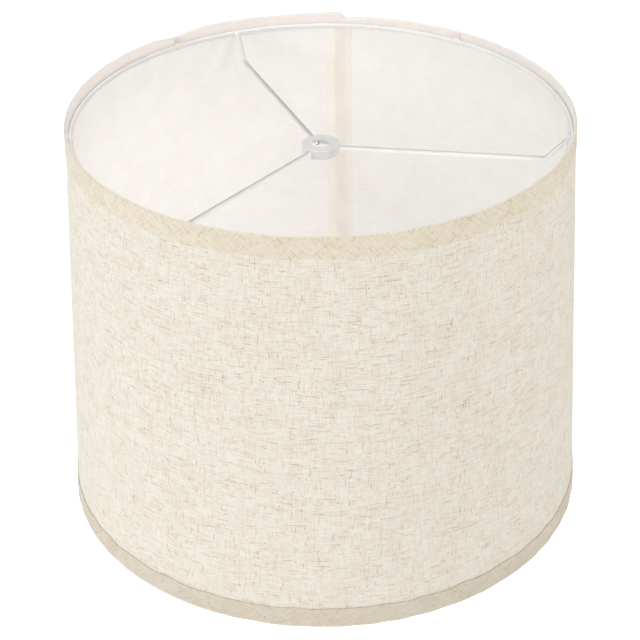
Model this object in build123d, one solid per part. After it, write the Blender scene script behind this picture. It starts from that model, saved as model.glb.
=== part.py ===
from build123d import *
import math
import os

# Recessed-spider drum lamp shade. Millimetres, +Z up. The origin is the centre of the bottom mouth,
# on the surface the shade stands on. Azimuths are degrees anticlockwise from +X, seen from above.
# The front is -Y, and the panel's seam is at the back.

# Shade body
TOP_DIAMETER = 304.8
BOTTOM_DIAMETER = 330.2
HEIGHT = 260.0

# Wall layers, from the outside in
TRIM_THICKNESS = 0.5
COVER_THICKNESS = 0.45
LINER_THICKNESS = 0.45
GLUE_LINE = 0.02

# Linen trim, folded over both edges
TRIM_WIDTH = 13.4
FOLD_RADIUS = 0.4
TRIM_END_AZIMUTH = 84.4
TRIM_JOIN_AZIMUTH = -99.1

# Seam of the rolled panel: the liner's inner end laps over its outer end
LAP_START_AZIMUTH = 82.1
LAP_ANGLE = 3.9
TAPE_ANGLE = 2.4
TAPE_THICKNESS = 0.15
SEAM_MARGIN = 10.0

# Wire rings, set in from the edges
RING_WIRE_DIAMETER = 3.0
RING_DROP = 7.8

# Spider: three wire arms on a notched cup washer
ARM_WIRE_DIAMETER = 3.0
ARM_COUNT = 3
FIRST_ARM_AZIMUTH = 111.5
ARM_INNER_END = 6.0
ARM_BEND_AT = 134.9
ARM_BEND_RADIUS = 5.0
ARM_STOP_SHORT = 0.9
HUB_DROP = 20.5
HUB_DIAMETER = 23.0
HUB_HOLE_DIAMETER = 11.1125
HUB_HEIGHT = 5.9
HUB_SHEET = 1.2
HUB_EDGE_RADIUS = 0.5
NOTCH_WIDTH = 3.4

# Clips that hold the top ring to the turned-in trim
CLIP_AZIMUTHS = (128.2, 53.1, -19.8, -95.0, -170.9)
CLIP_WIDTH = 4.5
CLIP_THICKNESS = 0.5
CLIP_RISE = 5.6

# Worked out from the above
TOP_RADIUS = TOP_DIAMETER / 2
BOTTOM_RADIUS = BOTTOM_DIAMETER / 2
COVER_DEPTH = TRIM_THICKNESS + GLUE_LINE
LINER_DEPTH = COVER_DEPTH + COVER_THICKNESS + GLUE_LINE
LINER_FACE_DEPTH = LINER_DEPTH + LINER_THICKNESS
FLAP_DEPTH = LINER_FACE_DEPTH + GLUE_LINE
FLAP_FACE_DEPTH = FLAP_DEPTH + TRIM_THICKNESS
RING_DEPTH = FLAP_FACE_DEPTH + GLUE_LINE + RING_WIRE_DIAMETER / 2
PANEL_LOW = TRIM_THICKNESS + GLUE_LINE
PANEL_HIGH = HEIGHT - PANEL_LOW
TOP_RING_Z = HEIGHT - RING_DROP
HUB_TOP_Z = HEIGHT - HUB_DROP
ARM_Z = HUB_TOP_Z - HUB_SHEET - GLUE_LINE - ARM_WIRE_DIAMETER / 2


def wall_point(depth, z):
    """A point of the radial section, at this depth inside the outermost cone."""
    taper = (BOTTOM_RADIUS - TOP_RADIUS) / HEIGHT
    return (BOTTOM_RADIUS - taper * z - depth, z)


def section(points):
    """A face in the radial section (the XZ plane) from its corners."""
    corners = [(radius, 0, z) for radius, z in points]
    return make_face(Polyline(*corners, close=True))


def turned(face, start=0.0, angle=360.0):
    """The face turned about the shade's axis, from this azimuth through this angle."""
    return Rot(0, 0, start) * revolve(face, Axis.Z, revolution_arc=angle)


def wall_layer(depth, thickness, low, high, start=0.0, angle=360.0):
    """A sheet that follows the conical wall."""
    corners = [
        wall_point(depth, low),
        wall_point(depth + thickness, low),
        wall_point(depth + thickness, high),
        wall_point(depth, high),
    ]
    return turned(section(corners), start, angle)


def cover():
    """The linen, laminated to the liner's outside."""
    return wall_layer(COVER_DEPTH, COVER_THICKNESS, PANEL_LOW, PANEL_HIGH)


def liner():
    """The stiff translucent sheet, with its inner end lapped over the seam between the rings."""
    sheet = wall_layer(LINER_DEPTH, LINER_THICKNESS, PANEL_LOW, PANEL_HIGH)
    lap = wall_layer(
        LINER_FACE_DEPTH - LINER_THICKNESS / 2,
        LINER_THICKNESS * 1.5,
        SEAM_MARGIN,
        HEIGHT - SEAM_MARGIN,
        LAP_START_AZIMUTH,
        LAP_ANGLE,
    )
    return sheet + lap


def seam_tape():
    """The margin of the seam's adhesive tape that shows beside the lap."""
    return wall_layer(
        LINER_FACE_DEPTH + GLUE_LINE,
        TAPE_THICKNESS,
        SEAM_MARGIN,
        HEIGHT - SEAM_MARGIN,
        LAP_START_AZIMUTH + LAP_ANGLE,
        TAPE_ANGLE,
    )


def trim_section(edge, inward):
    """A U round the wall's edge: outer leg, fold and turned-in flap. inward is +1 or -1 along Z."""
    leg_end = edge + inward * TRIM_WIDTH
    flap_end = edge + inward * RING_DROP
    pocket = edge + inward * TRIM_THICKNESS
    face = section(
        [
            wall_point(0, leg_end),
            wall_point(0, edge),
            wall_point(FLAP_FACE_DEPTH, edge),
            wall_point(FLAP_FACE_DEPTH, flap_end),
            wall_point(FLAP_DEPTH, flap_end),
            wall_point(FLAP_DEPTH, pocket),
            wall_point(TRIM_THICKNESS, pocket),
            wall_point(TRIM_THICKNESS, leg_end),
        ]
    )
    on_edge = face.vertices().filter_by(lambda corner: abs(corner.Z - edge) < TRIM_THICKNESS / 2)
    return fillet(on_edge, FOLD_RADIUS)


def top_trim(start, end):
    """One of the two strips that the top trim is joined from."""
    return turned(trim_section(HEIGHT, -1), start, end - start)


def bottom_trim():
    return turned(trim_section(0, 1))


def ring(z):
    """A wire ring inside the wall."""
    radius, height = wall_point(RING_DEPTH, z)
    return Pos(0, 0, height) * Torus(radius, RING_WIRE_DIAMETER / 2)


def spider_arm(azimuth):
    """A wire from under the hub, level, then bent up to the top ring and coped to it."""
    ring_radius, ring_z = wall_point(RING_DEPTH, TOP_RING_Z)
    rise = math.atan2(ring_z - ARM_Z, ring_radius - ARM_BEND_AT)
    end = (ring_radius - ARM_STOP_SHORT * math.cos(rise), 0, ring_z - ARM_STOP_SHORT * math.sin(rise))
    path = FilletPolyline(
        (ARM_INNER_END, 0, ARM_Z),
        (ARM_BEND_AT, 0, ARM_Z),
        end,
        radius=ARM_BEND_RADIUS,
    )
    wire = sweep(Plane(path @ 0, z_dir=path % 0) * Circle(ARM_WIRE_DIAMETER / 2), path)
    seat = Pos(0, 0, ring_z) * Torus(ring_radius, RING_WIRE_DIAMETER / 2 + GLUE_LINE)
    return Rot(0, 0, azimuth) * (wire - seat)


def arm_azimuths():
    return [FIRST_ARM_AZIMUTH - number * 360 / ARM_COUNT for number in range(ARM_COUNT)]


def arm_notch(azimuth):
    """The round-topped slot in the hub's skirt that an arm leaves by."""
    depth = HUB_HEIGHT * 2
    reach = HUB_DIAMETER / 2
    around = Pos(reach, 0, ARM_Z) * Rot(0, 90, 0) * Cylinder(NOTCH_WIDTH / 2, HUB_SHEET * 4)
    below = Pos(reach, 0, ARM_Z - depth / 2) * Box(HUB_SHEET * 4, NOTCH_WIDTH, depth)
    return Rot(0, 0, azimuth) * (around + below)


def hub():
    """A pressed cup washer, open below, with a hole for the harp's stud."""
    outer = HUB_DIAMETER / 2
    hole = HUB_HOLE_DIAMETER / 2
    skirt_end = HUB_TOP_Z - HUB_HEIGHT
    plate_under = HUB_TOP_Z - HUB_SHEET
    face = section(
        [
            (hole, HUB_TOP_Z),
            (outer, HUB_TOP_Z),
            (outer, skirt_end),
            (outer - HUB_SHEET, skirt_end),
            (outer - HUB_SHEET, plate_under),
            (hole, plate_under),
        ]
    )
    corner = face.vertices().sort_by(lambda point: point.X + point.Z)[-1]
    cup = turned(fillet(corner, HUB_EDGE_RADIUS))
    for azimuth in arm_azimuths():
        cup -= arm_notch(azimuth)
    return cup


def ring_clip(azimuth):
    """A strap that hooks over the top ring from inside and lies up the turned-in trim."""
    ring_radius, ring_z = wall_point(RING_DEPTH, TOP_RING_Z)
    hook_inner = RING_WIRE_DIAMETER / 2 + GLUE_LINE
    hook_outer = hook_inner + CLIP_THICKNESS
    outward_half = Pos(hook_outer, 0) * Rectangle(2 * hook_outer, 2 * hook_outer)
    hook = Pos(ring_radius, ring_z) * (Circle(hook_outer) - Circle(hook_inner) - outward_half)
    back = FLAP_FACE_DEPTH + GLUE_LINE
    front = back + CLIP_THICKNESS
    low = ring_z + hook_inner
    high = ring_z + CLIP_RISE
    corners = [
        (ring_radius, low),
        wall_point(back, low),
        wall_point(back, high),
        wall_point(front, high),
        wall_point(front, ring_z + hook_outer),
        (ring_radius, ring_z + hook_outer),
    ]
    strap = make_face(Polyline(*corners, close=True))
    angle = math.degrees(CLIP_WIDTH / ring_radius)
    return turned(Plane.XZ * (hook + strap), azimuth - angle / 2, angle)


def save(shape, node):
    export_step(shape, f"parts/{node}.step")


os.makedirs("parts", exist_ok=True)
save(liner(), "liner")
save(cover(), "linen_cover")
save(seam_tape(), "seam_tape")
save(top_trim(TRIM_JOIN_AZIMUTH, TRIM_END_AZIMUTH), "top_trim_right")
save(top_trim(TRIM_END_AZIMUTH, TRIM_JOIN_AZIMUTH + 360), "top_trim_left")
save(bottom_trim(), "bottom_trim")
save(ring(TOP_RING_Z), "top_ring")
save(ring(RING_DROP), "bottom_ring")
save(hub(), "hub")
for number, azimuth in enumerate(arm_azimuths(), 1):
    save(spider_arm(azimuth), f"spider_arm_{number}")
for number, azimuth in enumerate(CLIP_AZIMUTHS, 1):
    save(ring_clip(azimuth), f"ring_clip_{number}")
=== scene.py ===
"""Looks of the drum lamp shade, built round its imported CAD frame. Metres, +Z up, the front at -Y.
Azimuths are degrees anticlockwise from +X, seen from above."""

import math

import bmesh
import bpy
import numpy as np
from mathutils import Euler, Matrix, Vector


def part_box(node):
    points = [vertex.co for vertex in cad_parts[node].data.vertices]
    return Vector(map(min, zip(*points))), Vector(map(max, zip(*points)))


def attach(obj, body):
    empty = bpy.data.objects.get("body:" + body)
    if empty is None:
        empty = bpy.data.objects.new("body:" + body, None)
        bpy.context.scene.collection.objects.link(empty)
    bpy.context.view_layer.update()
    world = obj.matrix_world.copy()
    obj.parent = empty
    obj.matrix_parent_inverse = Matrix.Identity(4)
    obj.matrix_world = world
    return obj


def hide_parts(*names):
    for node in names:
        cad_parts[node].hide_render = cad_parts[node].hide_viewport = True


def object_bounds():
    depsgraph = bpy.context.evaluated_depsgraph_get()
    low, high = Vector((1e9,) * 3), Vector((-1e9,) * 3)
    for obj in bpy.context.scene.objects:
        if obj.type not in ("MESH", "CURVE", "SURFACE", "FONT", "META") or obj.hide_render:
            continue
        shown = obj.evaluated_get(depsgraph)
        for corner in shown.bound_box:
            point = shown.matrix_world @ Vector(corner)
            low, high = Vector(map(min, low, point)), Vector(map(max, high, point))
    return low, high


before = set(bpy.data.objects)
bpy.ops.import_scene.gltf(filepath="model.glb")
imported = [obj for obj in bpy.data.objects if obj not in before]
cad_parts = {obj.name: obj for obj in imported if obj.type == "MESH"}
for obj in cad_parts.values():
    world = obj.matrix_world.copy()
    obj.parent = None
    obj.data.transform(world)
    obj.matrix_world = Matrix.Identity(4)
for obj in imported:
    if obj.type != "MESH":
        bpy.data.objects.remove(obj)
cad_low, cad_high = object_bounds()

MM = 0.001

# Sheets, from the outside in: folded trim, linen, liner, and the trim's turned-in flap. The fold's
# width is measured between the middle lines of the trim's outer leg and its flap.
TRIM_THICKNESS = 0.5 * MM
COVER_THICKNESS = 0.45 * MM
LINER_THICKNESS = 0.45 * MM
GLUE_LINE = 0.02 * MM
FOLD_WIDTH = 1.46 * MM

# Wire of the rings and arms, and how near the axis the arms start
WIRE_DIAMETER = 3.0 * MM
ARM_INNER_END = 6.0 * MM
ARM_NUMBERS = (1, 2, 3)
CLIP_NUMBERS = (1, 2, 3, 4, 5)

# Where the panel and the trims end, all in degrees: the panel's seam with half of its gap, the front
# join of the top trim with its lap and the ramp beside it, and the liner's lap over the seam
SEAM_AZIMUTH = 84.4
SEAM_GAP = 0.02
TRIM_JOIN_AZIMUTH = -99.1
TRIM_LAP = 1.6
LAP_RAMP = 3.0
LAP_ANGLE = 3.9

# How finely the sheets are divided: rows up a layer of the wall, points along the trim's path, and
# degrees between the columns
PANEL_ROWS = 53
LAP_ROWS = 41
LEG_POINTS = 12
FOLD_POINTS = 9
FLAP_POINTS = 8
PANEL_STEP = 1.0
TRIM_STEP = 0.75
RAMP_STEP = 0.2
LAP_STEP = 0.25

# Places along the trim's path, as numbers of its points
LEG_END = LEG_POINTS - 1
CREST = LEG_POINTS + FOLD_POINTS // 2
FOLD_END = LEG_POINTS + FOLD_POINTS - 1

# How the rolled panel's upper edge strays from its true height, in mm, on round from the seam
EDGE_STRAY = (
    (84.4, 1.1), (88, 1.0), (91, 0.2), (98, 0.0), (105, 0.1), (113, 0.8), (121, 0.6), (129, -1.3),
    (135, 0.6), (142, 1.0), (160, 0.9), (180, 0.5), (220, 0.1), (270, 0.0), (330, 0.0), (360, -0.5),
    (404, -0.8), (418, -1.3), (435, -1.4), (441, -2.0), (444.4, -2.2),
)
STRAY_REACH = 45 * MM

# The camera: its distance from the middle of the shade and its elevation, then the way it looks, which
# is a little off the middle. Metres and degrees, and millimetres for the lens and sensor.
CAMERA_DISTANCE = 1.1765
CAMERA_ELEVATION = 31.278
CAMERA_PITCH = 31.963
CAMERA_YAW = 0.115
CAMERA_ROLL = -0.823
CAMERA_LENS = 104.2
SENSOR_WIDTH = 36.0

# The floor: a plain sheet whose glow dims under the shade in a painted shadow, between these distances
# from the axis
FLOOR_HALF = 6.0
FLOOR_DROP = 0.3 * MM
FLOOR_GLOW = 0.93
SHADOW_FULL_WITHIN = 150 * MM
SHADOW_GONE_BEYOND = 163 * MM

# The lamps that stand for the light that the wall lets through: their power together, each one's
# height as a share of the shade's, and their radius and place
THROUGH_WALL_POWER = 0.14
THROUGH_WALL_SHARES = (0.7, 1.0)
THROUGH_WALL_RADIUS = 0.05
THROUGH_WALL_PLACE = (-0.04, 0.02)

WHITE_LIGHT = (1.0, 1.0, 1.0)

# The Mix node's colour sockets, which share their names with its number sockets
MIX_COLOUR = 6
MIX_OTHER = 7
MIX_RESULT = 2

# How far the linen's threads wander from straight
THREAD_SWAY = 3.0 * MM

HEIGHT = cad_high.z


# ---------------------------------------------------------------- places read from the frame

def reach(node, height, band=0.1 * MM):
    """The node's largest distance from the axis, within a band round this height."""
    points = [v.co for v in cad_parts[node].data.vertices if abs(v.co.z - height) < band]
    return max(math.hypot(co.x, co.y) for co in points)


def arm_heading(number):
    """The direction that a spider arm runs in, from the axis outward."""
    points = [v.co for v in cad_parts[f"spider_arm_{number}"].data.vertices]
    tip = max(points, key=lambda co: math.hypot(co.x, co.y))
    return Vector((tip.x, tip.y, 0)).normalized()


def lowest_azimuth(node):
    points = [v.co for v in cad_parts[node].data.vertices]
    return min(math.degrees(math.atan2(co.y, co.x)) for co in points)


COVER_LOW, COVER_HIGH = (corner.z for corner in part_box("linen_cover"))
COVER_LOW_RADIUS = reach("linen_cover", COVER_LOW)
COVER_HIGH_RADIUS = reach("linen_cover", COVER_HIGH)
TAPER = (COVER_LOW_RADIUS - COVER_HIGH_RADIUS) / (COVER_HIGH - COVER_LOW)


def wall_radius(height, depth):
    """The radius of the cone that lies this deep inside the linen's outer face."""
    return COVER_LOW_RADIUS - TAPER * (height - COVER_LOW) - depth


LINER_DEPTH = COVER_THICKNESS + GLUE_LINE
LINER_FACE_DEPTH = LINER_DEPTH + LINER_THICKNESS
LEG_DEPTH = -GLUE_LINE - TRIM_THICKNESS / 2
LEG_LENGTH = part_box("bottom_trim")[1].z
RING_DROP = HEIGHT - (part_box("top_ring")[0].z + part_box("top_ring")[1].z) / 2
MIDDLE_RADIUS = wall_radius(HEIGHT / 2, 0)


# ---------------------------------------------------------------- unevenness

def waves(azimuths, seed, size, slow=9, fast=40, count=9):
    """A gentle unevenness round the shade, as a sum of whole waves with seeded sizes and starts."""
    source = np.random.default_rng(seed)
    total = np.zeros_like(azimuths)
    for turns in source.integers(slow, fast, count):
        total += source.normal() * np.sin(np.radians(azimuths) * turns + source.uniform(0, 2 * np.pi))
    return total * size / math.sqrt(count)


def edge_stray(azimuths):
    """How far the panel's upper edge lies above its true height, eased between EDGE_STRAY's points."""
    places, strays = np.array(EDGE_STRAY).T
    turned = SEAM_AZIMUTH + np.mod(azimuths - SEAM_AZIMUTH, 360)
    turned = np.where((azimuths < places[0] + 1e-6) & (turned > places[0] + 359.9), places[0], turned)
    after = np.clip(np.searchsorted(places, turned, side="right"), 1, len(places) - 1)
    share = (turned - places[after - 1]) / (places[after] - places[after - 1])
    eased = (1 - np.cos(np.pi * np.clip(share, 0, 1))) / 2
    return (strays[after - 1] + (strays[after] - strays[after - 1]) * eased) * MM


def ease(values, low, high):
    share = np.clip((values - low) / (high - low), 0, 1)
    return share * share * (3 - 2 * share)


# ---------------------------------------------------------------- sheets

def sheet_mesh(name, azimuths, middle, thickness, lengths, closed=False):
    """A closed solid sheet round the axis. middle[azimuth, point] is the sheet's middle line as radius
    and height; lengths is the distance along it, which with the arc length gives the metric UVs."""
    turns, points = middle.shape[:2]
    along = np.gradient(middle, axis=1)
    along /= np.linalg.norm(along, axis=2, keepdims=True)
    outward = np.stack([along[..., 1], -along[..., 0]], axis=2)
    loop = np.concatenate(
        [middle + outward * thickness / 2, (middle - outward * thickness / 2)[:, ::-1]], axis=1
    )
    angle = np.radians(azimuths)[:, None]
    positions = np.stack(
        [loop[..., 0] * np.cos(angle), loop[..., 0] * np.sin(angle), loop[..., 1]], axis=2
    ).reshape(-1, 3)
    around = 2 * points
    v_values = np.concatenate([lengths, lengths[::-1]])
    faces, uvs = [], []
    columns = turns if closed else turns - 1
    arc = np.radians(np.append(azimuths, azimuths[0] + 360)) * MIDDLE_RADIUS
    for column in range(columns):
        here, there = column * around, (column + 1) % turns * around
        for row in range(around):
            after = (row + 1) % around
            faces.append((here + row, there + row, there + after, here + after))
            uvs += [
                (arc[column], v_values[row]), (arc[column + 1], v_values[row]),
                (arc[column + 1], v_values[after]), (arc[column], v_values[after]),
            ]
    if not closed:
        for column, flip in ((0, False), (turns - 1, True)):
            start = column * around
            for row in range(points - 1):
                corners = (row, row + 1, around - 2 - row, around - 1 - row)
                ordered = corners[::-1] if flip else corners
                faces.append(tuple(start + corner for corner in ordered))
                uvs += [(arc[column], v_values[corner]) for corner in ordered]
    mesh = bpy.data.meshes.new(name)
    mesh.from_pydata(positions.tolist(), [], faces)
    layer = mesh.uv_layers.new(name="cloth")
    layer.data.foreach_set("uv", np.array(uvs, np.float32).ravel())
    mesh.polygons.foreach_set("use_smooth", np.ones(len(faces), bool))
    mesh.set_sharp_from_angle(angle=math.radians(50))
    mesh.update()
    piece = bpy.data.objects.new(name, mesh)
    bpy.context.scene.collection.objects.link(piece)
    return piece


def wall_middle(azimuths, depth, low, high, rows, stray=True):
    """The middle line of a layer of the wall, this deep, whose upper part follows the edge's stray."""
    heights = np.linspace(low, high, rows)[None, :] * np.ones((len(azimuths), 1))
    if stray:
        heights += edge_stray(azimuths)[:, None] * ease(heights, high - STRAY_REACH, high)
    belly = waves(azimuths, seed=5, size=0.12 * MM, slow=2, fast=7, count=4)[:, None]
    belly = belly * np.sin(np.pi * heights / HEIGHT)
    return np.stack([wall_radius(heights, depth) + belly, heights], axis=2)


def round_azimuths(start, end, step):
    return np.linspace(start, end, round((end - start) / step) + 1)


def dress(piece, material, slot, *nodes):
    """Gives a piece its material and place in the frame, and hides the CAD nodes that it replaces. The
    slot argument is not used.
    """
    piece.data.materials.append(material)
    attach(piece, "root")
    if nodes:
        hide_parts(*nodes)
    return piece


def panel_layer(name, depth, thickness):
    """One layer of the rolled panel, all the way round, with its ends meeting at the seam."""
    azimuths = round_azimuths(SEAM_AZIMUTH - 360 + SEAM_GAP, SEAM_AZIMUTH - SEAM_GAP, PANEL_STEP)
    middle = wall_middle(azimuths, depth + thickness / 2, COVER_LOW, COVER_HIGH, PANEL_ROWS)
    lengths = np.linspace(COVER_LOW, COVER_HIGH, PANEL_ROWS)
    return sheet_mesh(name, azimuths, middle, thickness, lengths)


def linen_cover(material):
    """The linen glued to the liner's outside."""
    piece = panel_layer("linen_panel", 0, COVER_THICKNESS)
    return dress(piece, material, "linen", "linen_cover")


def liner(material):
    """The stiff sheet inside the linen."""
    piece = panel_layer("liner_sheet", LINER_DEPTH, LINER_THICKNESS)
    return dress(piece, material, "liner_plastic", "liner")


def liner_lap(material):
    """The liner's inner end, which laps over the seam as far as the tape and is as tall as it."""
    low, high = (corner.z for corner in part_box("seam_tape"))
    edge = lowest_azimuth("seam_tape")
    azimuths = round_azimuths(edge - LAP_ANGLE, edge - SEAM_GAP / 2, LAP_STEP)
    depth = LINER_FACE_DEPTH + GLUE_LINE + LINER_THICKNESS / 2
    middle = wall_middle(azimuths, depth, low, high, LAP_ROWS, stray=False)
    middle[..., 0] += waves(azimuths, seed=8, size=0.05 * MM, slow=20, fast=90, count=6)[:, None]
    lengths = np.linspace(low, high, LAP_ROWS)
    piece = sheet_mesh("liner_lap", azimuths, middle, LINER_THICKNESS, lengths)
    return dress(piece, material, "liner_plastic")


def trim_path():
    """The folded strip's middle line, as depth and distance from the edge, with the length along it:
    along the outside to the edge, round the fold and back behind the ring."""
    radius = FOLD_WIDTH / 2
    crown = TRIM_THICKNESS / 2 + radius
    leg = [(LEG_DEPTH, drop) for drop in np.linspace(LEG_LENGTH, crown, LEG_POINTS)]
    fold = [
        (LEG_DEPTH + radius * (1 - math.cos(turn)), crown - radius * math.sin(turn))
        for turn in np.linspace(0, math.pi, FOLD_POINTS + 2)[1:-1]
    ]
    drops = np.linspace(crown, RING_DROP, FLAP_POINTS)
    flap = [(LEG_DEPTH + FOLD_WIDTH, drop) for drop in drops]
    path = np.array(leg + fold + flap)
    steps = np.linalg.norm(np.diff(path, axis=0), axis=1)
    return path, np.concatenate([[0], np.cumsum(steps)])


def trim_middle(azimuths, seed, top):
    """The strip's middle line at each azimuth: the fold is soft, its cut edge wavers and it puckers."""
    def uneven(number, size, slow, fast, count):
        return waves(azimuths, seed + number, size, slow, fast, count)[:, None]

    path, lengths = trim_path()
    depth = np.repeat(path[None, :, 0], len(azimuths), axis=0)
    drop = np.repeat(path[None, :, 1], len(azimuths), axis=0)
    outside = ease(lengths, lengths[LEG_END] * 1.4, lengths[LEG_END] * 0.9)[None, :]
    near_fold = np.exp(-((lengths - lengths[CREST]) / (3.2 * MM)) ** 2)[None, :]
    cut = ease(lengths, 6 * MM, 0)[None, :]
    depth -= near_fold * (0.10 * MM + uneven(0, 0.16 * MM, 14, 70, 14))
    depth -= outside * (1 - cut) * np.abs(uneven(1, 0.10 * MM, 30, 110, 12))
    drop += cut * uneven(2, 0.35 * MM, 8, 60, 12)
    drop += near_fold * (0.15 * MM + uneven(3, 0.16 * MM, 12, 60, 12))
    if not top:
        return depth, drop, lengths
    heights = HEIGHT - drop
    share = ease(heights, HEIGHT - STRAY_REACH, HEIGHT)
    return depth, heights + edge_stray(azimuths)[:, None] * share, lengths


def trim_piece(name, azimuths, depth, heights, lengths, closed=False):
    middle = np.stack([wall_radius(heights, depth), heights], axis=2)
    return sheet_mesh(name, azimuths, middle, TRIM_THICKNESS, lengths, closed)


def top_trim_left(material):
    """The strip from the seam at the back, round the left, to under the lap at the front."""
    start, end = SEAM_AZIMUTH + SEAM_GAP / 2, TRIM_JOIN_AZIMUTH + 360 + TRIM_LAP
    azimuths = round_azimuths(start, end, TRIM_STEP)
    depth, heights, lengths = trim_middle(azimuths, 21, top=True)
    # The strip stands a little proud for the few degrees next to the seam
    raised = ease(azimuths, SEAM_AZIMUTH + 7, SEAM_AZIMUTH + 2)[:, None]
    depth -= raised * 0.25 * MM
    piece = trim_piece("top_trim_strip_left", azimuths, depth, heights, lengths)
    return dress(piece, material, "trim_linen", "top_trim_left")


def top_trim_right(material):
    """The strip from its lap at the front, round the right, to the seam at the back."""
    ramp_end = TRIM_JOIN_AZIMUTH + 2 * LAP_RAMP
    azimuths = np.concatenate([
        round_azimuths(TRIM_JOIN_AZIMUTH, ramp_end, RAMP_STEP)[:-1],
        round_azimuths(ramp_end, SEAM_AZIMUTH - SEAM_GAP / 2, TRIM_STEP),
    ])
    depth, heights, lengths = trim_middle(azimuths, 31, top=True)
    lap_end = TRIM_JOIN_AZIMUTH + TRIM_LAP
    raised = ease(azimuths, lap_end + LAP_RAMP, lap_end)[:, None]
    outside = ease(lengths, lengths[-1], lengths[FOLD_END])[None, :]
    depth -= raised * (TRIM_THICKNESS + GLUE_LINE) * outside
    piece = trim_piece("top_trim_strip_right", azimuths, depth, heights, lengths)
    return dress(piece, material, "trim_linen", "top_trim_right")


def bottom_trim(material):
    """The strip over the bottom edge, in one piece all round. Its path runs the other way from the top
    trim's, so that its faces also point outward."""
    azimuths = np.arange(-90, 270, TRIM_STEP)
    depth, heights, lengths = trim_middle(azimuths, 41, top=False)
    turned = depth[:, ::-1], heights[:, ::-1], lengths[::-1]
    piece = trim_piece("bottom_trim_strip", azimuths, *turned, closed=True)
    return dress(piece, material, "trim_linen", "bottom_trim")


# ---------------------------------------------------------------- materials

class Surface:
    """A Principled material, with short calls for the nodes that drive it."""

    def __init__(self, name, **sockets):
        self.material = bpy.data.materials.new(name)
        self.material.use_nodes = True
        self.tree = self.material.node_tree
        self.shader = self.tree.nodes["Principled BSDF"]
        for socket, value in sockets.items():
            self.shader.inputs[socket.replace("_", " ")].default_value = value

    def feed(self, value, socket):
        if isinstance(value, bpy.types.NodeSocket):
            self.tree.links.new(value, socket)
        else:
            socket.default_value = value

    def node(self, kind, *values, **settings):
        made = self.tree.nodes.new(kind)
        for name, value in settings.items():
            setattr(made, name, value)
        for value, socket in zip(values, made.inputs):
            self.feed(value, socket)
        return made

    def math(self, operation, *values):
        return self.node("ShaderNodeMath", *values, operation=operation).outputs[0]

    def pair(self, x, y, z=0.0):
        return self.node("ShaderNodeCombineXYZ", x, y, z).outputs[0]

    def noise(self, vector, scale, detail=2.0, roughness=0.5):
        made = self.node("ShaderNodeTexNoise", noise_dimensions="3D")
        self.feed(vector, made.inputs["Vector"])
        made.inputs["Scale"].default_value = scale
        made.inputs["Detail"].default_value = detail
        made.inputs["Roughness"].default_value = roughness
        return made.outputs["Fac"]

    def dice(self, vector):
        """A random number for each whole place."""
        made = self.node("ShaderNodeTexWhiteNoise", vector, noise_dimensions="3D")
        return made.outputs["Value"]

    def ease(self, value, low, high, start=0.0, end=1.0):
        """start where the value is low, end where it is high, and a soft step between them."""
        made = self.node("ShaderNodeMapRange", value, low, high, start, end)
        made.interpolation_type = "SMOOTHSTEP"
        return made.outputs[0]

    def tint(self, share, colour, other):
        """colour where share is 0, other where it is 1."""
        made = self.node("ShaderNodeMix", data_type="RGBA")
        self.feed(share, made.inputs["Factor"])
        self.feed(colour, made.inputs[MIX_COLOUR])
        self.feed(other, made.inputs[MIX_OTHER])
        return made.outputs[MIX_RESULT]

    def bump(self, height, distance, strength):
        made = self.node("ShaderNodeBump")
        made.inputs["Strength"].default_value = strength
        made.inputs["Distance"].default_value = distance
        self.feed(height, made.inputs["Height"])
        self.tree.links.new(made.outputs[0], self.shader.inputs["Normal"])

    def finish(self, colour, relief, distance, strength):
        """Gives the shader its colour and its relief, and hands over the material."""
        self.tree.links.new(colour, self.shader.inputs["Base Color"])
        self.bump(relief, distance, strength)
        return self.material

    def object_place(self):
        return self.node("ShaderNodeTexCoord").outputs["Object"]

    def cloth_axes(self, turn=0.0):
        """The sheet's own metric coordinates, turned by an angle for a strip cut on the bias."""
        place = self.node("ShaderNodeUVMap", uv_map="cloth").outputs[0]
        if turn:
            place = self.node("ShaderNodeVectorRotate", place, rotation_type="Z_AXIS").outputs[0]
            place.node.inputs["Angle"].default_value = math.radians(turn)
        axes = self.node("ShaderNodeSeparateXYZ", place)
        return axes.outputs[0], axes.outputs[1]


def srgb(*display):
    """A linear colour from three display values, each from 11 to 255."""
    return (*(((value / 255 + 0.055) / 1.055) ** 2.4 for value in display), 1.0)


def threads(surface, along, across, pitch, length, seed):
    """Threads that run one way, one pitch apart and not quite straight: each one's own run of noise,
    and how far from its middle a point lies."""
    drift = surface.noise(surface.pair(along, across, seed * 3.7), 22.0, 1.0)
    count = surface.math("DIVIDE", surface.math("MULTIPLY_ADD", drift, THREAD_SWAY, across), pitch)
    thread = surface.math("MULTIPLY", surface.math("FLOOR", count), 17.31)
    run = surface.math("DIVIDE", along, length)
    tone = surface.noise(surface.pair(run, thread, seed * 5.3), 1.0, 2.0, 0.55)
    side = surface.math("SUBTRACT", surface.math("FRACT", count), 0.5)
    return tone, surface.math("ABSOLUTE", side)


def slubs(surface, along, across, pitch, length, low, high, seed):
    """Where such threads thicken and darken: a slub comes in between the noise values low and high."""
    tone, off_centre = threads(surface, along, across, pitch, length, seed)
    thickened = surface.ease(tone, low, high)
    return surface.math("MULTIPLY", thickened, surface.ease(off_centre, 0.45, 0.15))


def flecks(surface, along, across, size, share, seed):
    """A few small dark bits of straw, each within its own cell."""
    pairs = zip((along, across), size)
    spots = [surface.math("DIVIDE", place, length) for place, length in pairs]
    cell = surface.pair(*[surface.math("FLOOR", spot) for spot in spots], seed)
    chosen = surface.math("LESS_THAN", surface.dice(cell), share)
    offsets = [surface.math("SUBTRACT", surface.math("FRACT", spot), 0.5) for spot in spots]
    squares = [surface.math("MULTIPLY", offset, offset) for offset in offsets]
    round_off = surface.ease(surface.math("ADD", *squares), 0.2, 0.05)
    return surface.math("MULTIPLY", chosen, round_off)


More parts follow.
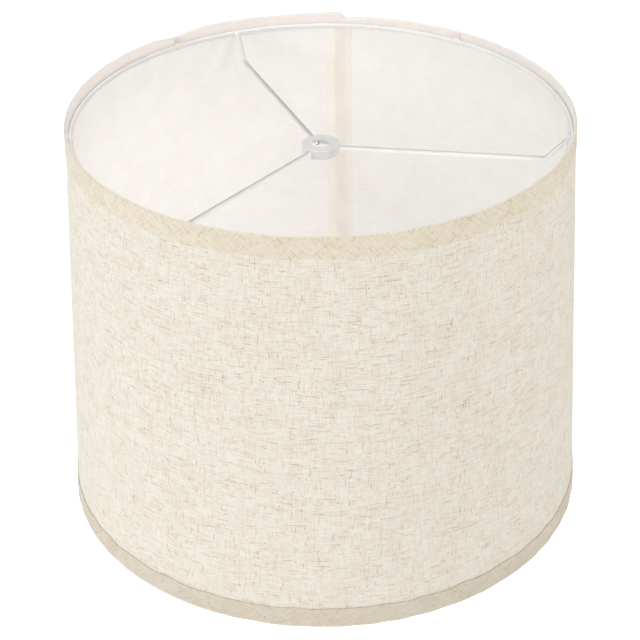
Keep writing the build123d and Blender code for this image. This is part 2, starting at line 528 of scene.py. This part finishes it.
def weave_height(surface, along, across, pitch):
    """The over-and-under of a plain weave."""
    turns = math.pi / pitch
    warp = surface.math("SINE", surface.math("MULTIPLY", along, turns))
    weft = surface.math("SINE", surface.math("MULTIPLY", across, turns))
    return surface.math("MULTIPLY", warp, weft)


def linen_colour(surface, along, across, base, strength=1.0):
    """Undyed linen: a pale ground with threads of slightly different tones, tan and brown slubs both
    ways, dark flecks, and slow patches of tone."""
    weft_tone, _ = threads(surface, along, across, 0.50 * MM, 9 * MM, 11)
    warp_tone, _ = threads(surface, across, along, 0.55 * MM, 7 * MM, 12)
    woven = surface.math("ADD", weft_tone, warp_tone)
    patches = surface.noise(surface.pair(along, across), 60.0, 3.0, 0.6)
    gold = surface.noise(surface.pair(along, across, 9.0), 75.0, 2.0, 0.6)
    golden = surface.ease(gold, 0.38, 0.64, 0.65, 1.0)
    colour = surface.tint(surface.ease(patches, 0.3, 0.75), base["pale"], base["deep"])
    colour = surface.tint(surface.math("MULTIPLY", golden, 0.3 * strength), colour, base["warm"])
    woven = surface.ease(woven, 0.95, 1.25, 0.0, 0.34 * strength)
    colour = surface.tint(woven, colour, base["tan"])
    # Each slub goes under the crossing threads, so it shows as a row of dots
    over = surface.math("MULTIPLY_ADD", weave_height(surface, along, across, 0.6 * MM), 0.35, 0.8)
    over = surface.math("MULTIPLY", over, golden)
    for pitch, length, low, high, amount, shade, crossing, seed in (
        (0.55 * MM, 8.0 * MM, 0.53, 0.66, 0.80, "tan", False, 1),
        (0.60 * MM, 6.0 * MM, 0.55, 0.68, 0.64, "tan", True, 2),
        (0.65 * MM, 13.0 * MM, 0.62, 0.68, 0.80, "brown", False, 3),
        (0.80 * MM, 8.0 * MM, 0.635, 0.69, 0.64, "brown", True, 4),
    ):
        first, second = (across, along) if crossing else (along, across)
        mask = slubs(surface, first, second, pitch, length, low, high, seed)
        mask = surface.math("MULTIPLY", mask, over)
        mask = surface.math("MULTIPLY", mask, amount * strength)
        colour = surface.tint(mask, colour, base[shade])
    for size, share, seed in (
        ((1.3 * MM, 0.8 * MM), 0.0010, 1),
        ((0.8 * MM, 1.2 * MM), 0.0007, 2),
    ):
        bits = flecks(surface, along, across, size, share, seed)
        bits = surface.math("MULTIPLY", bits, 0.85 * strength)
        colour = surface.tint(bits, colour, base["dark"])
    return colour


def linen_material():
    surface = Surface("linen", Roughness=0.92, Sheen_Weight=0.15, Sheen_Roughness=0.6)
    along, across = surface.cloth_axes()
    base = {
        "pale": srgb(243, 241, 233), "deep": srgb(238, 234, 224), "warm": srgb(242, 232, 211),
        "tan": srgb(212, 188, 143), "brown": srgb(180, 142, 90), "dark": srgb(140, 102, 68),
    }
    colour = linen_colour(surface, along, across, base)
    relief = weave_height(surface, along, across, 0.55 * MM)
    return surface.finish(colour, relief, 0.06 * MM, 0.6)


def trim_material(name, pale, deep):
    """The same linen cut on the bias, so that its threads run slantwise, and paler where it is turned
    in and light comes through it."""
    surface = Surface(name, Roughness=0.92, Sheen_Weight=0.12, Sheen_Roughness=0.6)
    along, across = surface.cloth_axes(45)
    base = {
        "pale": srgb(*pale), "deep": srgb(*deep), "warm": srgb(238, 220, 188),
        "tan": srgb(204, 180, 144), "brown": srgb(170, 138, 96), "dark": srgb(100, 76, 54),
    }
    outer = linen_colour(surface, along, across, base, 0.8)
    length = surface.cloth_axes()[1]
    turned_in = surface.ease(length, LEG_LENGTH - 0.9 * MM, LEG_LENGTH + 0.7 * MM)
    inner = surface.tint(0.8, outer, srgb(255, 248, 246))
    colour = surface.tint(turned_in, outer, inner)
    relief = weave_height(surface, along, across, 0.6 * MM)
    return surface.finish(colour, relief, 0.08 * MM, 0.7)


def liner_material():
    """Translucent white sheet with the linen's slubs showing faintly through it."""
    surface = Surface("liner_plastic", Roughness=0.55)
    along, across = surface.cloth_axes()
    base = {
        "pale": srgb(249, 248, 246), "deep": srgb(245, 244, 241), "warm": srgb(249, 243, 237),
        "tan": srgb(243, 234, 224), "brown": srgb(238, 212, 196), "dark": srgb(226, 212, 202),
    }
    colour = linen_colour(surface, along, across, base, 0.5)
    relief = surface.noise(surface.pair(along, across), 160.0, 2.0)
    return surface.finish(colour, relief, 0.05 * MM, 0.3)


def lap_material():
    """The liner's doubled end, painted a little darker and warmer than the rest, as shade where the
    doubled sheet lets less light through, and paler along its edge.
    """
    surface = Surface("liner_plastic_doubled", Roughness=0.5)
    along, across = surface.cloth_axes()
    base = {
        "pale": srgb(243, 238, 230), "deep": srgb(239, 232, 223), "warm": srgb(242, 232, 222),
        "tan": srgb(232, 219, 206), "brown": srgb(222, 202, 188), "dark": srgb(206, 190, 178),
    }
    colour = linen_colour(surface, along, across, base, 0.5)
    # A paler band along the lap's starting edge
    lap_start = math.radians(lowest_azimuth("seam_tape") - LAP_ANGLE) * MIDDLE_RADIUS
    paler_edge = surface.ease(along, lap_start + 6 * MM, lap_start, 0.0, 0.6)
    colour = surface.tint(paler_edge, colour, srgb(250, 246, 241))
    relief = surface.noise(surface.pair(along, across), 160.0, 2.0)
    return surface.finish(colour, relief, 0.05 * MM, 0.3)


def tape_material():
    """Clear tape gone slightly yellow, with paler air bubbles under it."""
    surface = Surface("adhesive_tape", Roughness=0.25, Coat_Weight=0.3)
    place = surface.object_place()
    bubbles = surface.ease(surface.noise(place, 240.0, 3.0, 0.6), 0.45, 0.65)
    yellowing = surface.noise(place, 30.0, 2.0)
    yellowing = surface.ease(yellowing, 0.35, 0.65)
    colour = surface.tint(yellowing, srgb(249, 244, 236), srgb(246, 240, 226))
    colour = surface.tint(surface.math("MULTIPLY", bubbles, 0.5), colour, srgb(250, 247, 241))
    relief = surface.noise(place, 300.0, 2.0)
    return surface.finish(colour, relief, 0.04 * MM, 0.4)


def powder_coat(name, pale, deep):
    """White powder coat with a slight orange peel: its surface, place, colour and relief."""
    surface = Surface(name, Roughness=0.38, Coat_Weight=0.2, Coat_Roughness=0.25)
    place = surface.object_place()
    tone = surface.ease(surface.noise(place, 70.0, 3.0), 0.35, 0.7)
    return surface, place, surface.tint(tone, pale, deep), surface.noise(place, 1100.0, 1.0)


def wire_material():
    """The coat on the rings and the hub, with a few grey specks."""
    surface, place, colour, relief = powder_coat(
        "white_powder_coat", srgb(248, 248, 247), srgb(243, 244, 244)
    )
    specks = surface.ease(surface.noise(place, 900.0, 1.0), 0.70, 0.80)
    colour = surface.tint(surface.math("MULTIPLY", specks, 0.35), colour, srgb(190, 190, 190))
    return surface.finish(colour, relief, 0.05 * MM, 0.35)


def arm_material(number):
    """The coat on one arm, cut through to bright steel with a dark burr at its inner end."""
    surface, place, colour, relief = powder_coat(
        f"white_powder_coat_arm_{number}", srgb(250, 250, 249), srgb(245, 246, 246)
    )
    heading = arm_heading(number)
    east, north, height = surface.node("ShaderNodeSeparateXYZ", place).outputs
    # How far along the arm a point lies, and how far beside and above its middle
    outward = surface.math("MULTIPLY", east, heading.x)
    outward = surface.math("MULTIPLY_ADD", north, heading.y, outward)
    aside = surface.math("MULTIPLY", east, heading.y)
    aside = surface.math("MULTIPLY_ADD", north, -heading.x, aside)
    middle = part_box(f"spider_arm_{number}")[0].z + WIRE_DIAMETER / 2
    above = surface.math("SUBTRACT", height, middle)
    # The burr is the crescent that is left of the cut end outside an off-centre disc of bright steel
    offsets = (surface.math("ADD", aside, 0.35 * MM), above)
    squares = [surface.math("MULTIPLY", offset, offset) for offset in offsets]
    distance = surface.math("SQRT", surface.math("ADD", *squares))
    burr = surface.ease(distance, 1.05 * MM, 1.25 * MM, 0.0, 0.9)
    steel = surface.tint(burr, srgb(245, 245, 243), srgb(66, 64, 62))
    bare = surface.ease(outward, ARM_INNER_END + 0.45 * MM, ARM_INNER_END + 0.2 * MM)
    colour = surface.tint(bare, colour, steel)
    return surface.finish(colour, relief, 0.05 * MM, 0.35)


def clip_material():
    """Milky moulded plastic."""
    surface = Surface("clip_plastic", Roughness=0.3, Coat_Weight=0.3)
    place = surface.object_place()
    cloud = surface.noise(place, 350.0, 3.0)
    colour = surface.tint(surface.ease(cloud, 0.3, 0.7), srgb(252, 249, 245), srgb(245, 240, 234))
    relief = surface.noise(place, 700.0, 1.0)
    return surface.finish(colour, relief, 0.04 * MM, 0.3)


def floor_material():
    """A pale floor that glows up to pure white, with a painted shadow under the shade where it glows
    less.
    """
    surface = Surface("pale_floor", Roughness=0.9, Emission_Strength=FLOOR_GLOW)
    place = surface.object_place()
    tone = surface.noise(place, 3.0, 2.0)
    colour = surface.tint(tone, srgb(190, 190, 190), srgb(186, 186, 187))
    surface.tree.links.new(colour, surface.shader.inputs["Base Color"])
    axes = surface.node("ShaderNodeSeparateXYZ", place).outputs
    squares = [surface.math("MULTIPLY", axis, axis) for axis in axes[:2]]
    radius = surface.math("SQRT", surface.math("ADD", *squares))
    # Painted shadow: the glow is dimmer within the shade's footprint
    outside_shadow = surface.ease(radius, SHADOW_FULL_WITHIN, SHADOW_GONE_BEYOND)
    glow = surface.tint(outside_shadow, srgb(212, 212, 212), srgb(255, 255, 255))
    surface.tree.links.new(glow, surface.shader.inputs["Emission Color"])
    return surface.material


# ---------------------------------------------------------------- welds

def weld_beads(material):
    """Small uneven beads that join the arms to the ring and to the hub's underside."""
    shape = bmesh.new()
    source = np.random.default_rng(3)
    ring_low, ring_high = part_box("top_ring")
    ring_middle = (ring_low.z + ring_high.z) / 2
    for number in ARM_NUMBERS:
        arm_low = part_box(f"spider_arm_{number}")[0].z
        outward = arm_heading(number)
        heading = Matrix.Rotation(math.atan2(outward.y, outward.x), 4, "Z")
        # Each bead's distance from the axis, height, and half sizes along, across and up
        for distance, height, size in (
            (ring_high.x - WIRE_DIAMETER, ring_middle - 0.4 * MM, (1.9, 2.1, 1.6)),
            (7.6 * MM, arm_low + 2.4 * MM, (1.6, 2.0, 0.8)),
        ):
            centre = outward * distance + Vector((0, 0, height))
            bead = bmesh.ops.create_icosphere(shape, subdivisions=3, radius=1)["verts"]
            for corner in bead:
                uneven = 1 + 0.08 * source.normal()
                place = Vector(corner.co[k] * size[k] * MM * uneven for k in range(3))
                corner.co = centre + heading @ place
    mesh = bpy.data.meshes.new("weld_beads")
    shape.to_mesh(mesh)
    shape.free()
    mesh.polygons.foreach_set("use_smooth", np.ones(len(mesh.polygons), bool))
    piece = bpy.data.objects.new("weld_beads", mesh)
    bpy.context.scene.collection.objects.link(piece)
    smoother = piece.modifiers.new("soften", "SMOOTH")
    smoother.iterations = 3
    return dress(piece, material, "white_wire")


# ---------------------------------------------------------------- studio

def floor(material):
    mesh = bpy.data.meshes.new("floor")
    signs = ((-1, -1), (1, -1), (1, 1), (-1, 1))
    corners = [(x * FLOOR_HALF, y * FLOOR_HALF, 0) for x, y in signs]
    mesh.from_pydata(corners, [], [(0, 1, 2, 3)])
    piece = bpy.data.objects.new("floor", mesh)
    bpy.context.scene.collection.objects.link(piece)
    piece.location.z = -FLOOR_DROP
    mesh.materials.append(material)


def soft_light(name, place, target, size, power, colour):
    data = bpy.data.lights.new(name, "AREA")
    data.shape, data.size, data.energy, data.color = "DISK", size, power, colour
    light = bpy.data.objects.new(name, data)
    bpy.context.scene.collection.objects.link(light)
    light.location = place
    light.rotation_euler = (Vector(target) - Vector(place)).to_track_quat("-Z", "Y").to_euler()
    return light


def group(name, pieces):
    made = bpy.data.collections.new(name)
    for piece in pieces:
        made.objects.link(piece)
    return made


def light_only(light, pieces):
    light.light_linking.receiver_collection = group(f"lit_by_{light.name}", pieces)


def light_through_wall(pieces):
    """What the thin wall lets through to its inner face, as lamps near the axis that reach only these
    pieces and are shaded only by them and the rings."""
    lit = group("lit_through_wall", pieces)
    rings = [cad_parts[ring] for ring in ("top_ring", "bottom_ring")]
    shading = group("shades_the_wall", [*pieces, *rings])
    for number, share in enumerate(THROUGH_WALL_SHARES):
        data = bpy.data.lights.new(f"through_wall_{number}", "POINT")
        data.shadow_soft_size = THROUGH_WALL_RADIUS
        data.energy = THROUGH_WALL_POWER / len(THROUGH_WALL_SHARES)
        light = bpy.data.objects.new(data.name, data)
        bpy.context.scene.collection.objects.link(light)
        light.location = (*THROUGH_WALL_PLACE, HEIGHT * share)
        light.light_linking.receiver_collection = lit
        light.light_linking.blocker_collection = shading
        light.visible_camera = False


def studio():
    """Soft light from all round. The overhead light passes over the arms, which have a light of their
    own from the front, and that leaves their upper edges dark, as in the photo."""
    scene = bpy.context.scene
    scene.world = bpy.data.worlds.new("studio")
    scene.world.use_nodes = True
    sky = scene.world.node_tree.nodes["Background"]
    sky.inputs["Color"].default_value = (1.0, 0.985, 0.965, 1.0)
    sky.inputs["Strength"].default_value = 0.1
    rim = (0, 0, HEIGHT)
    soft_light("key_left", (-1.3, -0.8, 0.7), (0, 0, HEIGHT / 2), 0.8, 8.1, (0.98, 0.99, 1.0))
    soft_light("key_right", (0.75, -0.55, 0.95), rim, 0.8, 4.2, (1.0, 0.98, 0.95))
    arms = [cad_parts[f"spider_arm_{number}"] for number in ARM_NUMBERS]
    meshes = [piece for piece in scene.objects if piece.type == "MESH"]
    rest = [piece for piece in meshes if piece not in arms]
    overhead = soft_light("overhead", (-0.1, 0.1, 1.6), (0, 0.05, 0), 0.8, 8.6, WHITE_LIGHT)
    light_only(overhead, rest)
    arm_light = soft_light("arm_light", (0.3, -1.3, 0.9), rim, 0.5, 6.0, WHITE_LIGHT)
    light_only(arm_light, arms)
    soft_light("front", (-0.1, -1.1, 1.2), rim, 0.6, 2.0, WHITE_LIGHT)
    for side in (-1, 1):
        place = (side * 1.5, 1.6, 0.12)
        soft_light(f"low_back_{side + 1}", place, (0, 0, 0.12), 0.3, 2.5, WHITE_LIGHT)
    scene.view_settings.view_transform = "Standard"


def camera():
    data = bpy.data.cameras.new("camera")
    data.lens, data.sensor_width = CAMERA_LENS, SENSOR_WIDTH
    viewer = bpy.data.objects.new("camera", data)
    bpy.context.scene.collection.objects.link(viewer)
    rise = math.radians(CAMERA_ELEVATION)
    place = Vector((0, -math.cos(rise), math.sin(rise))) * CAMERA_DISTANCE
    place += Vector((0, 0, HEIGHT / 2))
    aim = Euler((math.radians(90 - CAMERA_PITCH), 0, math.radians(CAMERA_YAW))).to_matrix()
    turn = aim @ Matrix.Rotation(math.radians(CAMERA_ROLL), 3, "Z")
    viewer.matrix_world = Matrix.Translation(place) @ turn.to_4x4()
    bpy.context.scene.camera = viewer


# ---------------------------------------------------------------- build

# The two trims are one linen in two tones: the top one is painted paler, as light that comes through it
# from inside, and the bottom one is painted darker, as shade
top_linen_painted_light = trim_material("trim_linen_top", (241, 234, 218), (234, 226, 208))
bottom_linen_painted_shade = trim_material("trim_linen_bottom", (223, 217, 205), (213, 206, 192))
cover = linen_cover(linen_material())
lining = liner(liner_material())
lap = liner_lap(lap_material())
left = top_trim_left(top_linen_painted_light)
right = top_trim_right(top_linen_painted_light)
bottom = bottom_trim(bottom_linen_painted_shade)

coat = wire_material()
clips = clip_material()
coated = {"top_ring": coat, "bottom_ring": coat, "hub": coat, "seam_tape": tape_material()}
for number in ARM_NUMBERS:
    coated[f"spider_arm_{number}"] = arm_material(number)
for number in CLIP_NUMBERS:
    coated[f"ring_clip_{number}"] = clips
for name, material in coated.items():
    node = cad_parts[name]
    node.data.materials.clear()
    node.data.materials.append(material)
weld_beads(coat)

floor(floor_material())
studio()
light_through_wall((lining, lap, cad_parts["seam_tape"], left, right))
camera()
